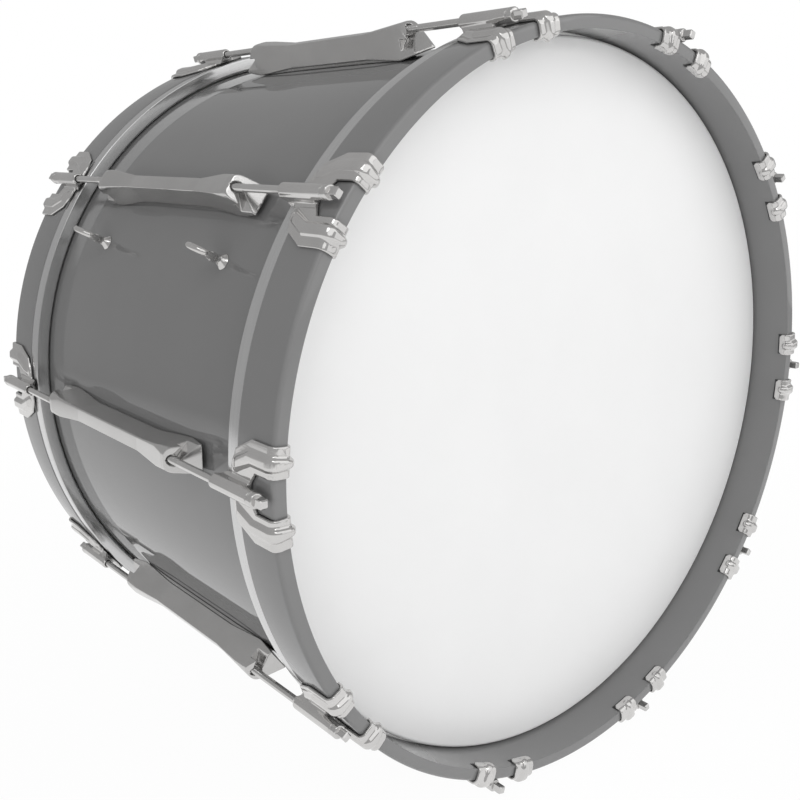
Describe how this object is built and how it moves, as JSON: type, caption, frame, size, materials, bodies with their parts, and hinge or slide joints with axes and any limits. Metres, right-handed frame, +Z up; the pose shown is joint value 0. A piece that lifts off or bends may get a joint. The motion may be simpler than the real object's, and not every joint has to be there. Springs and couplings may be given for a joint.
{
  "type": "marching bass drum",
  "caption": "Wide, shallow cylindrical drum on its side: round shell, a deep wooden counterhoop and flat white head at each end, held by forked claws, long rods and bow-tie lugs.",
  "frame": {"origin": "centre of the shell, on the drum's axis midway between the heads", "axes": "+Y along the drum's axis, from the front head to the rear head; +Z up; +X to the right of someone facing the front head; the eye bolts are on the -X side"},
  "size_m": [0.6104, 0.431, 0.5838],
  "materials": {
    "shell_lacquer": "high-gloss lacquer over maple ply",
    "hoop_lacquer": "high-gloss lacquer over maple ply",
    "head_film": "smooth opaque white polyester film",
    "flesh_aluminium": "satin",
    "lug_metal": "cast, plated, semi-gloss",
    "claw_chrome": "polished plating",
    "rod_chrome": "polished plating",
    "zinc_steel": "zinc plated",
    "nut_brass": "turned",
    "pad_rubber": "matte"
  },
  "bodies": {
    "shell": {"shell": "shell_lacquer", "lug_1": "lug_metal", "lug_2": "lug_metal", "lug_3": "lug_metal", "lug_4": "lug_metal", "lug_5": "lug_metal", "lug_6": "lug_metal", "lug_7": "lug_metal", "lug_8": "lug_metal", "lug_9": "lug_metal", "lug_10": "lug_metal", "swivel_nuts": "nut_brass", "lug_screws": "zinc_steel", "lug_washers": "zinc_steel", "eye_bolts": "claw_chrome", "eye_bolt_washers": "zinc_steel", "eye_bolt_nuts": "zinc_steel", "vent_grommet": "rod_chrome"},
    "front_hoop": {"front_hoop": "hoop_lacquer", "front_flesh_hoop": "flesh_aluminium", "front_head": "head_film", "front_claws": "claw_chrome", "front_claw_pads": "pad_rubber", "front_rod_washers": "zinc_steel"},
    "rear_hoop": {"rear_hoop": "hoop_lacquer", "rear_flesh_hoop": "flesh_aluminium", "rear_head": "head_film", "rear_claws": "claw_chrome", "rear_claw_pads": "pad_rubber", "rear_rod_washers": "zinc_steel"},
    "front_rod_1": {"front_rod_1": "rod_chrome"},
    "front_rod_2": {"front_rod_2": "rod_chrome"},
    "front_rod_3": {"front_rod_3": "rod_chrome"},
    "front_rod_4": {"front_rod_4": "rod_chrome"},
    "front_rod_5": {"front_rod_5": "rod_chrome"},
    "front_rod_6": {"front_rod_6": "rod_chrome"},
    "front_rod_7": {"front_rod_7": "rod_chrome"},
    "front_rod_8": {"front_rod_8": "rod_chrome"},
    "front_rod_9": {"front_rod_9": "rod_chrome"},
    "front_rod_10": {"front_rod_10": "rod_chrome"},
    "rear_rod_1": {"rear_rod_1": "rod_chrome"},
    "rear_rod_2": {"rear_rod_2": "rod_chrome"},
    "rear_rod_3": {"rear_rod_3": "rod_chrome"},
    "rear_rod_4": {"rear_rod_4": "rod_chrome"},
    "rear_rod_5": {"rear_rod_5": "rod_chrome"},
    "rear_rod_6": {"rear_rod_6": "rod_chrome"},
    "rear_rod_7": {"rear_rod_7": "rod_chrome"},
    "rear_rod_8": {"rear_rod_8": "rod_chrome"},
    "rear_rod_9": {"rear_rod_9": "rod_chrome"},
    "rear_rod_10": {"rear_rod_10": "rod_chrome"}
  },
  "joints": [
    {"name": "front_hoop_slide", "type": "slide", "parent": "shell", "child": "front_hoop", "axis": [0, -1, 0], "range_m": [0, 0.01058]},
    {"name": "front_rod_1_turn", "type": "hinge", "parent": "front_hoop", "child": "front_rod_1", "pos_m": [0.09252, -0.205, 0.28475], "axis": [0, -1, 0], "range_deg": [0, 3600]},
    {"name": "front_rod_2_turn", "type": "hinge", "parent": "front_hoop", "child": "front_rod_2", "pos_m": [0.24222, -0.205, 0.17598], "axis": [0, -1, 0], "range_deg": [0, 3600]},
    {"name": "front_rod_3_turn", "type": "hinge", "parent": "front_hoop", "child": "front_rod_3", "pos_m": [0.2994, -0.205, 0], "axis": [0, -1, 0], "range_deg": [0, 3600]},
    {"name": "front_rod_4_turn", "type": "hinge", "parent": "front_hoop", "child": "front_rod_4", "pos_m": [0.24222, -0.205, -0.17598], "axis": [0, -1, 0], "range_deg": [0, 3600]},
    {"name": "front_rod_5_turn", "type": "hinge", "parent": "front_hoop", "child": "front_rod_5", "pos_m": [0.09252, -0.205, -0.28475], "axis": [0, -1, 0], "range_deg": [0, 3600]},
    {"name": "front_rod_6_turn", "type": "hinge", "parent": "front_hoop", "child": "front_rod_6", "pos_m": [-0.09252, -0.205, -0.28475], "axis": [0, -1, 0], "range_deg": [0, 3600]},
    {"name": "front_rod_7_turn", "type": "hinge", "parent": "front_hoop", "child": "front_rod_7", "pos_m": [-0.24222, -0.205, -0.17598], "axis": [0, -1, 0], "range_deg": [0, 3600]},
    {"name": "front_rod_8_turn", "type": "hinge", "parent": "front_hoop", "child": "front_rod_8", "pos_m": [-0.2994, -0.205, 0], "axis": [0, -1, 0], "range_deg": [0, 3600]},
    {"name": "front_rod_9_turn", "type": "hinge", "parent": "front_hoop", "child": "front_rod_9", "pos_m": [-0.24222, -0.205, 0.17598], "axis": [0, -1, 0], "range_deg": [0, 3600]},
    {"name": "front_rod_10_turn", "type": "hinge", "parent": "front_hoop", "child": "front_rod_10", "pos_m": [-0.09252, -0.205, 0.28475], "axis": [0, -1, 0], "range_deg": [0, 3600]},
    {"name": "rear_hoop_slide", "type": "slide", "parent": "shell", "child": "rear_hoop", "axis": [0, 1, 0], "range_m": [0, 0.01058]},
    {"name": "rear_rod_1_turn", "type": "hinge", "parent": "rear_hoop", "child": "rear_rod_1", "pos_m": [0.09252, 0.205, 0.28475], "axis": [0, 1, 0], "range_deg": [0, 3600]},
    {"name": "rear_rod_2_turn", "type": "hinge", "parent": "rear_hoop", "child": "rear_rod_2", "pos_m": [0.24222, 0.205, 0.17598], "axis": [0, 1, 0], "range_deg": [0, 3600]},
    {"name": "rear_rod_3_turn", "type": "hinge", "parent": "rear_hoop", "child": "rear_rod_3", "pos_m": [0.2994, 0.205, 0], "axis": [0, 1, 0], "range_deg": [0, 3600]},
    {"name": "rear_rod_4_turn", "type": "hinge", "parent": "rear_hoop", "child": "rear_rod_4", "pos_m": [0.24222, 0.205, -0.17598], "axis": [0, 1, 0], "range_deg": [0, 3600]},
    {"name": "rear_rod_5_turn", "type": "hinge", "parent": "rear_hoop", "child": "rear_rod_5", "pos_m": [0.09252, 0.205, -0.28475], "axis": [0, 1, 0], "range_deg": [0, 3600]},
    {"name": "rear_rod_6_turn", "type": "hinge", "parent": "rear_hoop", "child": "rear_rod_6", "pos_m": [-0.09252, 0.205, -0.28475], "axis": [0, 1, 0], "range_deg": [0, 3600]},
    {"name": "rear_rod_7_turn", "type": "hinge", "parent": "rear_hoop", "child": "rear_rod_7", "pos_m": [-0.24222, 0.205, -0.17598], "axis": [0, 1, 0], "range_deg": [0, 3600]},
    {"name": "rear_rod_8_turn", "type": "hinge", "parent": "rear_hoop", "child": "rear_rod_8", "pos_m": [-0.2994, 0.205, 0], "axis": [0, 1, 0], "range_deg": [0, 3600]},
    {"name": "rear_rod_9_turn", "type": "hinge", "parent": "rear_hoop", "child": "rear_rod_9", "pos_m": [-0.24222, 0.205, 0.17598], "axis": [0, 1, 0], "range_deg": [0, 3600]},
    {"name": "rear_rod_10_turn", "type": "hinge", "parent": "rear_hoop", "child": "rear_rod_10", "pos_m": [-0.09252, 0.205, 0.28475], "axis": [0, 1, 0], "range_deg": [0, 3600]}
  ],
  "couplings": [
    {"joint": "front_rod_1_turn", "follows": "front_hoop_slide", "rad_per_m": 5936.9},
    {"joint": "front_rod_2_turn", "follows": "front_hoop_slide", "rad_per_m": 5936.9},
    {"joint": "front_rod_3_turn", "follows": "front_hoop_slide", "rad_per_m": 5936.9},
    {"joint": "front_rod_4_turn", "follows": "front_hoop_slide", "rad_per_m": 5936.9},
    {"joint": "front_rod_5_turn", "follows": "front_hoop_slide", "rad_per_m": 5936.9},
    {"joint": "front_rod_6_turn", "follows": "front_hoop_slide", "rad_per_m": 5936.9},
    {"joint": "front_rod_7_turn", "follows": "front_hoop_slide", "rad_per_m": 5936.9},
    {"joint": "front_rod_8_turn", "follows": "front_hoop_slide", "rad_per_m": 5936.9},
    {"joint": "front_rod_9_turn", "follows": "front_hoop_slide", "rad_per_m": 5936.9},
    {"joint": "front_rod_10_turn", "follows": "front_hoop_slide", "rad_per_m": 5936.9},
    {"joint": "rear_rod_1_turn", "follows": "rear_hoop_slide", "rad_per_m": 5936.9},
    {"joint": "rear_rod_2_turn", "follows": "rear_hoop_slide", "rad_per_m": 5936.9},
    {"joint": "rear_rod_3_turn", "follows": "rear_hoop_slide", "rad_per_m": 5936.9},
    {"joint": "rear_rod_4_turn", "follows": "rear_hoop_slide", "rad_per_m": 5936.9},
    {"joint": "rear_rod_5_turn", "follows": "rear_hoop_slide", "rad_per_m": 5936.9},
    {"joint": "rear_rod_6_turn", "follows": "rear_hoop_slide", "rad_per_m": 5936.9},
    {"joint": "rear_rod_7_turn", "follows": "rear_hoop_slide", "rad_per_m": 5936.9},
    {"joint": "rear_rod_8_turn", "follows": "rear_hoop_slide", "rad_per_m": 5936.9},
    {"joint": "rear_rod_9_turn", "follows": "rear_hoop_slide", "rad_per_m": 5936.9},
    {"joint": "rear_rod_10_turn", "follows": "rear_hoop_slide", "rad_per_m": 5936.9}
  ]
}
